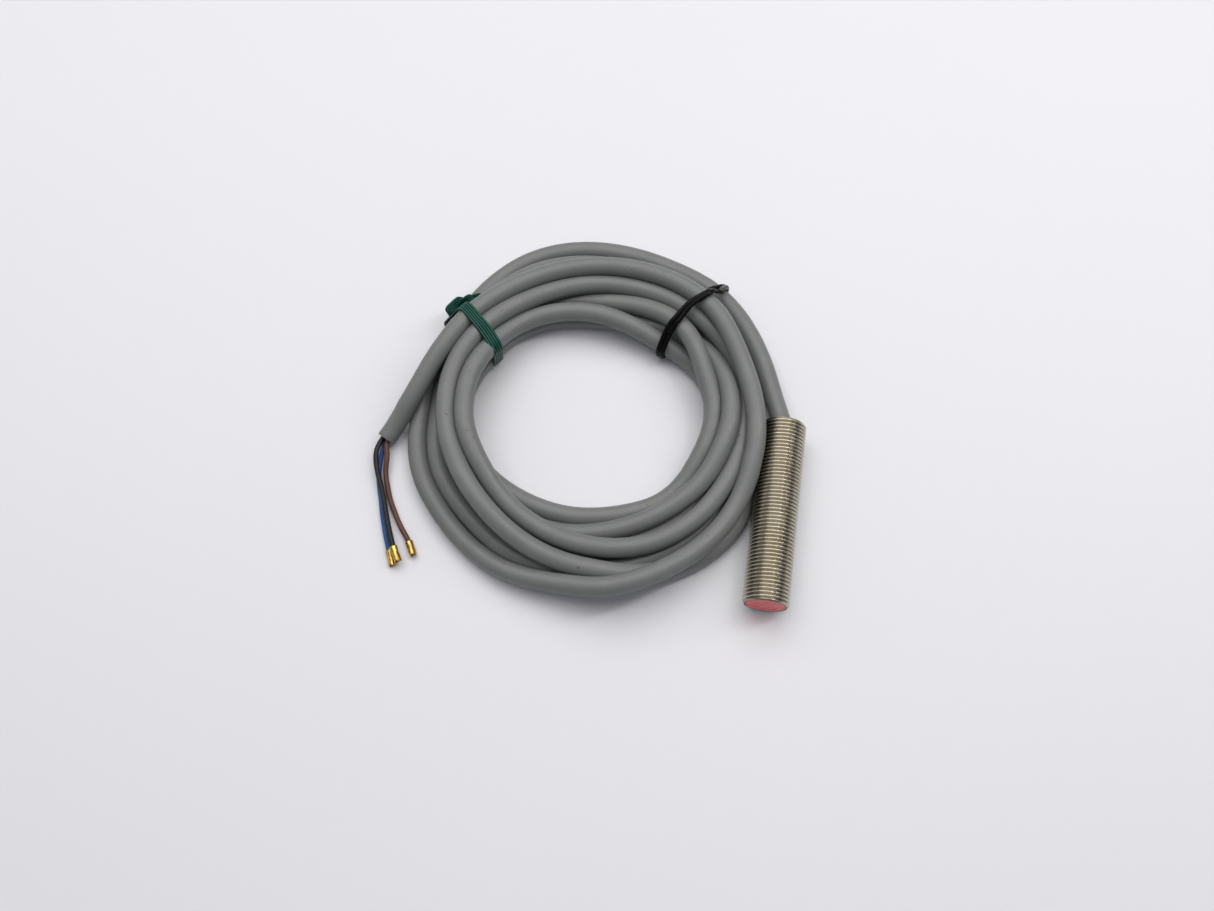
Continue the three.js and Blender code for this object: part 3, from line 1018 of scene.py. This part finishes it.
def tie_loop(origin, along, across, bow, radius, count):
    """A tie's closed route round the coil, with its own frame: the belt round the turns at
    its place, bowed sideways. Gives the distances along the tie's line and the heights, the
    route in millimetres, the way across the tie and the way outwards."""
    loop = belt(bundle_section(origin, along, across, bow), radius, count)
    plan = origin + loop[:, :1] * along + bow_at(bow, loop[:, 0])[:, None] * across
    route = np.stack([plan[:, 0], plan[:, 1], loop[:, 1]], -1)
    tangent = np.roll(route, -1, axis=0) - np.roll(route, 1, axis=0)
    tangent /= np.linalg.norm(tangent, axis=1, keepdims=True)
    wide = np.broadcast_to((across[0], across[1], 0.0), route.shape)
    wide = wide - (wide * tangent).sum(1, keepdims=True) * tangent
    wide = wide / np.linalg.norm(wide, axis=1, keepdims=True)
    out = np.cross(tangent, wide)
    out *= np.sign((out * (route - route.mean(axis=0))).sum(1).mean())
    return loop, route, wide, out


def rolled(route, roll):
    """The ways across and outwards of a flat end that is turned about its route by an angle
    at each point: side cos + up sin, and up cos - side sin."""
    _, side, up = level_frame(route)
    c, s = np.cos(roll)[:, None], np.sin(roll)[:, None]
    return c * side + s * up, -s * side + c * up


def ribbon_section(width, thickness, ribs, samples=100):
    """Half-width and height over the middle plane round a ribbed ribbon's edge, and how near
    each point is to the top of a rib: a flattened oval whose faces rise and fall in ribs."""
    a = np.linspace(0, 2 * np.pi, samples, endpoint=False)
    x = np.sign(np.cos(a)) * np.abs(np.cos(a)) ** 0.75
    z = np.sign(np.sin(a)) * np.abs(np.sin(a)) ** 0.35
    rib = np.abs(np.sin(0.5 * np.pi * (ribs * (x + 1)))) ** 0.9
    place = np.stack([0.5 * width * x, 0.5 * thickness * z * (0.45 + 0.55 * rib)], -1)
    return place, rib


def strand_section(width, thickness, samples=20):
    """An oval section."""
    a = np.linspace(0, 2 * np.pi, samples, endpoint=False)
    return np.stack([0.5 * width * np.cos(a), 0.5 * thickness * np.sin(a)], -1)


def sweep(route, wide, out, section, widths=None):
    """A section carried along a route: centre + x wide + z out, where wide lies across the
    ribbon and out stands on it. widths scale x along the route."""
    widths = np.ones(len(route)) if widths is None else widths
    x = section[None, :, 0, None] * widths[:, None, None]
    z = section[None, :, 1, None]
    return route[:, None, :] + x * wide[:, None, :] + z * out[:, None, :]


def build_green_tie(settings):
    """The green ribbon: a belt round the coil's turns at its place, and a crumpled twisted
    tail of two ends outside the coil."""
    origin = np.array([-85.0, 63.6])
    along = np.array([-0.81, 0.586])
    across = np.array([0.586, 0.81])
    thickness = settings.ribbon_thickness / MM
    bow = ((-12, -8.9, -5.3, 0, 4, 7, 8.7, 10.5, 13),
           (-1.6, -1.1, -0.3, 0.3, 0.7, 0.5, -0.6, -1.6, -2.2))
    clear = STRAND_RADIUS + thickness / 2 + 0.16
    loop, route, wide, out = tie_loop(origin, along, across, bow, clear, 260)
    section, rib = ribbon_section(settings.ribbon_width / MM, thickness, RIBS)
    narrow = 1 - 0.1 * np.sin(np.linspace(0, 2 * np.pi, len(route))) ** 2
    points = sweep(route, wide, out, section, narrow)
    parts = [(points * MM, grid_faces(len(route), len(section), closed_rows=True))]
    levels = [np.tile(rib, len(route))]
    top = origin + (loop[:, 0].max() - 0.6) * along
    ends = (
        ((top[0] + 0.6, top[1] - 2.4, 3.0), (-94.7, 68.2, 3.0), (-94.3, 70.8, 2.6),
         (-93.0, 73.0, 1.4), (-91.3, 74.5, 0.6), (-89.6, 75.4, 0.4), (-88.0, 76.2, -0.6)),
        ((top[0] + 0.4, top[1] - 1.4, 1.0), (-93.7, 68.8, 0.4), (-93.4, 71.2, 0.8),
         (-92.0, 73.0, 2.2), (-90.3, 74.2, 2.0), (-88.9, 75.6, 0.2), (-87.3, 76.8, -1.8)),
    )
    fold, rib = ribbon_section(settings.ribbon_width / MM, thickness * 1.1, RIBS)
    for number, spots in enumerate(ends):
        tail = smooth_route(spots, 90)
        t = np.linspace(0, 1, len(tail))
        wide, out = rolled(tail, 0.8 + 2.1 * number + 4.2 * t + 0.5 * np.sin(9 * t + number))
        size = 0.72 + 0.1 * np.sin(14 * t + 2 * number)
        size[0] = size[-1] = 0.0
        parts.append((sweep(tail, wide, out, fold, size) * MM,
                      grid_faces(len(tail), len(fold))))
        levels.append(np.tile(rib, len(tail)))
    points, faces = join_parts(parts)
    piece = add_mesh(
        "green_ribbon_tie", points, faces, ribbon_finish(tuple(settings.green)),
        [("rib", np.concatenate(levels))], MERGE,
    )
    return finish_piece(piece, ["green_tie"])


def build_black_tie(settings):
    """The black tie: two oval strands round the coil's turns, side by side on its inner side
    and one over the other on its outer side, and two short flattened ends that widen like a
    wedge to where they were cut."""
    origin = np.array([-31.0, 77.5])
    along = np.array([0.447, 0.894])
    across = np.array([0.894, -0.447])
    radius = settings.strand_radius / MM
    bow = ((-16, -11.1, -6.7, -2.7, 2.2, 4.9, 6.6, 9.8, 14, 18),
           (0.6, 0.5, 0.0, 0.5, 1.5, 2.9, 3.6, 4.1, 4.2, 3.8))
    loop, route, wide, out = tie_loop(
        origin, along, across, bow, STRAND_RADIUS + radius + 0.1, 240
    )
    t = np.linspace(0, 2 * np.pi, len(route), endpoint=False)
    beside = np.clip((3.0 - loop[:, 0]) / 9.0, 0, 1)
    section = strand_section(2 * radius * 1.12, 2 * radius * 0.92)
    parts = []
    for way in (-1, 1):
        gap = way * (0.46 + 0.2 * beside + 0.06 * np.sin(3 * t + 0.6))
        lift = (0.34 - 0.26 * beside) * (way > 0) * (loop[:, 1] > 0.5)
        line = route + gap[:, None] * wide + lift[:, None] * out
        parts.append((sweep(line, wide, out, section) * MM,
                      grid_faces(len(line), len(section), closed_rows=True)))
    s = np.linspace(0, 1, 36)
    for start, end, lean, broad in (
        ((-24.9, 84.0, 7.2), (-21.9, 85.9, 6.6), 0.35, 1.7),
        ((-24.7, 83.6, 7.4), (-21.3, 84.4, 6.4), -0.3, 2.0),
    ):
        middle = 0.5 * (np.array(start) + end) + (0, 0, 0.35)
        core = smooth_route((start, middle, end), len(s))
        wide, out = rolled(core, lean + 0.9 * s)
        size = 0.7 + 0.75 * s
        size[0] = size[-1] = 0.0
        section = strand_section(broad, 0.8)
        parts.append((sweep(core, wide, out, section, size) * MM,
                      grid_faces(len(core), len(section))))
    points, faces = join_parts(parts)
    finish = pvc("black_tie_plastic", tuple(settings.black), 0.3, (0.2, 0.32), None, 0.00001)
    finish.set(Specular_IOR_Level=0.12)
    piece = add_mesh("black_twist_tie", points, faces, finish.material, merge=MERGE)
    return finish_piece(piece, ["black_tie"])


def build_inside():
    """Finishes for the sealed inner pieces, which keep their own shapes."""
    plain = (
        ("ferrite_core", (0.03, 0.03, 0.034), ["ferrite_pot_core"]),
        ("natural_nylon", (0.62, 0.58, 0.48), ["coil_bobbin", "insulating_sleeve"]),
        ("holder_plastic", (0.03, 0.03, 0.032),
         ["core_holder", "oscillator_chip", "output_transistor", "protection_diode"]),
        ("ceramic_body", (0.55, 0.42, 0.28),
         ["filter_capacitor", "tank_capacitor", "gain_resistor", "bias_resistor",
          "feedback_resistor", "output_resistor"]),
        ("tantalum_body", (0.75, 0.42, 0.06), ["supply_capacitor"]),
        ("board_laminate", (0.02, 0.14, 0.06), ["circuit_board"]),
    )
    for name, base, nodes in plain:
        finish = pvc(name, base, 0.16, (0.35, 0.6), None, 0.00003)
        for node in nodes:
            assign(node, finish.material)
    metal = (
        ("winding_copper", (0.62, 0.24, 0.09), 0.28,
         ["coil_winding", "coil_lead_left", "coil_lead_right"]),
        ("crimp_brass", (0.72, 0.5, 0.2), 0.3, ["crimp_ring"]),
    )
    for name, base, rough, nodes in metal:
        finish = Finish(name)
        patch = finish.noise(finish.place(), 1500.0, 4.0)
        finish.colour(finish.blend(finish.spread(patch, 0.3, 0.7), base, shade(base, 0.6)))
        finish.rough(finish.spread(patch, 0.3, 0.7, rough - 0.08, rough + 0.1))
        finish.bump(finish.noise(finish.place(None, (0.1, 1, 0.1)), 12000.0), 0.00002, 0.6)
        finish.set(Metallic=1.0)
        for node in nodes:
            assign(node, finish.material)
    for name, base in (("brown", (0.115, 0.045, 0.035)), ("black", (0.012, 0.012, 0.014)),
                       ("blue", (0.012, 0.075, 0.24))):
        finish = pvc(f"inner_{name}_insulation", base, 0.14, (0.25, 0.4), None, 0.00001)
        assign(f"inner_lead_{name}", finish.material)


def assign(node, material):
    """Gives a node of the frame its material."""
    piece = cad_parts[node]
    piece.data.materials.clear()
    piece.data.materials.append(material)


# ---- stage ------------------------------------------------------------------------------


def build_stage(settings):
    """A pale floor, an even sky, an overhead panel, a narrow panel to its right, a low weak
    panel to its left and the camera."""
    side = np.linspace(-FLOOR_REACH, FLOOR_REACH, 41)
    x, y = np.meshgrid(side, side)
    points = np.stack([x, y, CAD_BOX[0][2] + 0 * x], -1)
    made = Finish("pale_floor")
    tone = tuple(settings.floor_colour)
    cloud = made.noise(made.place(), 3.0, 3.0)
    made.colour(made.blend(made.spread(cloud, 0.3, 0.7), shade(tone, 0.99), shade(tone, 1.01)))
    made.rough(made.spread(made.noise(made.place(), 300.0), 0.3, 0.7, 0.6, 0.7))
    floor = add_mesh(
        "floor", points, grid_faces(*x.shape, closed_columns=False), made.material
    )
    if floor.data.polygons[0].normal.z < 0:
        floor.data.flip_normals()
    world = bpy.data.worlds.new("even_light")
    world.use_nodes = True
    sky = world.node_tree.nodes["Background"]
    sky.inputs["Color"].default_value = (0.93, 0.94, 1.0, 1.0)
    sky.inputs["Strength"].default_value = settings.ambient
    bpy.context.scene.world = world
    panels = (
        ("overhead_panel", (-0.12, 0.32, 0.70), (0.92, 0.86), settings.key_power,
         (1.0, 0.985, 0.96)),
        ("strip_panel", (0.37, 0.25, 0.5), (0.07, 0.5), settings.strip_power,
         (1.0, 0.98, 0.95)),
        ("side_panel", (-0.62, 0.2, 0.36), (0.5, 0.6), settings.side_power,
         (1.0, 0.98, 0.93)),
    )
    for name, place, size, power, tone in panels:
        lamp = bpy.data.lights.new(name, "AREA")
        lamp.shape = "RECTANGLE"
        lamp.size, lamp.size_y = size
        lamp.energy = power
        lamp.color = tone
        holder = bpy.data.objects.new(name, lamp)
        holder.location = place
        aim = np.array(LIGHT_AIM) - np.array(place)
        holder.rotation_euler = (
            math.atan2(math.hypot(aim[0], aim[1]), -aim[2]), 0.0,
            math.atan2(aim[1], aim[0]) - math.pi / 2,
        )
        bpy.context.scene.collection.objects.link(holder)
    lens = bpy.data.cameras.new("camera")
    lens.lens = settings.lens
    lens.sensor_width = 36.0
    lens.clip_start = 0.005
    camera = bpy.data.objects.new("camera", lens)
    camera.location = CAMERA_PLACE
    camera.rotation_euler = CAMERA_TURN
    bpy.context.scene.collection.objects.link(camera)
    bpy.context.scene.camera = camera
    bpy.context.scene.view_settings.view_transform = "Standard"


# ---- operators --------------------------------------------------------------------------


class SENSOR_OT_stage(Operator):
    """Lays the floor and sets up the light and the camera"""

    bl_idname = "sensor.stage"
    bl_label = "Floor, light and camera"

    def execute(self, context):
        build_stage(context.scene.sensor_stage)
        return {"FINISHED"}


class SENSOR_OT_cable(Operator):
    """Coils the cable and gives it its wires and ferrules and its ties"""

    bl_idname = "sensor.cable"
    bl_label = "Cable, wires and ties"

    def execute(self, context):
        cable = context.scene.sensor_cable
        ties = context.scene.sensor_ties
        jacket = build_cable(cable)
        on_it = build_wires(cable)
        on_it += [build_green_tie(ties), build_black_tie(ties)]
        route = cable_route()
        return {"FINISHED"}


class SENSOR_OT_barrel(Operator):
    """Cuts the threaded barrel and closes its two ends"""

    bl_idname = "sensor.barrel"
    bl_label = "Barrel, face and bush"

    def execute(self, context):
        barrel = context.scene.sensor_barrel
        build_barrel(barrel)
        build_face(barrel)
        build_bush(barrel)
        return {"FINISHED"}


class SENSOR_OT_inside(Operator):
    """Gives the sealed inner pieces their finishes"""

    bl_idname = "sensor.inside"
    bl_label = "Inner pieces"

    def execute(self, context):
        build_inside()
        return {"FINISHED"}


class SENSOR_PT_panel(Panel):
    """Lists the steps and the sizes"""

    bl_label = "Sensor"
    bl_idname = "SENSOR_PT_panel"
    bl_space_type = "VIEW_3D"
    bl_region_type = "UI"
    bl_category = "Sensor"

    def draw(self, context):
        layout = self.layout
        for operator in STEPS:
            layout.operator(operator.bl_idname)
        for group in ("sensor_barrel", "sensor_cable", "sensor_ties", "sensor_stage"):
            settings = getattr(context.scene, group)
            column = layout.column(align=True)
            for name in settings.__annotations__:
                column.prop(settings, name)


GROUPS = (
    (SensorBarrel, "sensor_barrel"),
    (SensorCable, "sensor_cable"),
    (SensorTies, "sensor_ties"),
    (SensorStage, "sensor_stage"),
)
STEPS = (SENSOR_OT_stage, SENSOR_OT_cable, SENSOR_OT_barrel, SENSOR_OT_inside)


def register():
    """Registers the groups, the operators and the panel."""
    for group, name in GROUPS:
        bpy.utils.register_class(group)
        setattr(bpy.types.Scene, name, PointerProperty(type=group))
    for kind in (*STEPS, SENSOR_PT_panel):
        bpy.utils.register_class(kind)


def unregister():
    """Takes them all away again."""
    for kind in (SENSOR_PT_panel, *reversed(STEPS)):
        bpy.utils.unregister_class(kind)
    for group, name in reversed(GROUPS):
        delattr(bpy.types.Scene, name)
        bpy.utils.unregister_class(group)


def main():
    register()
    bpy.ops.sensor.stage()
    bpy.ops.sensor.cable()
    bpy.ops.sensor.barrel()
    bpy.ops.sensor.inside()


if __name__ == "__main__":
    main()
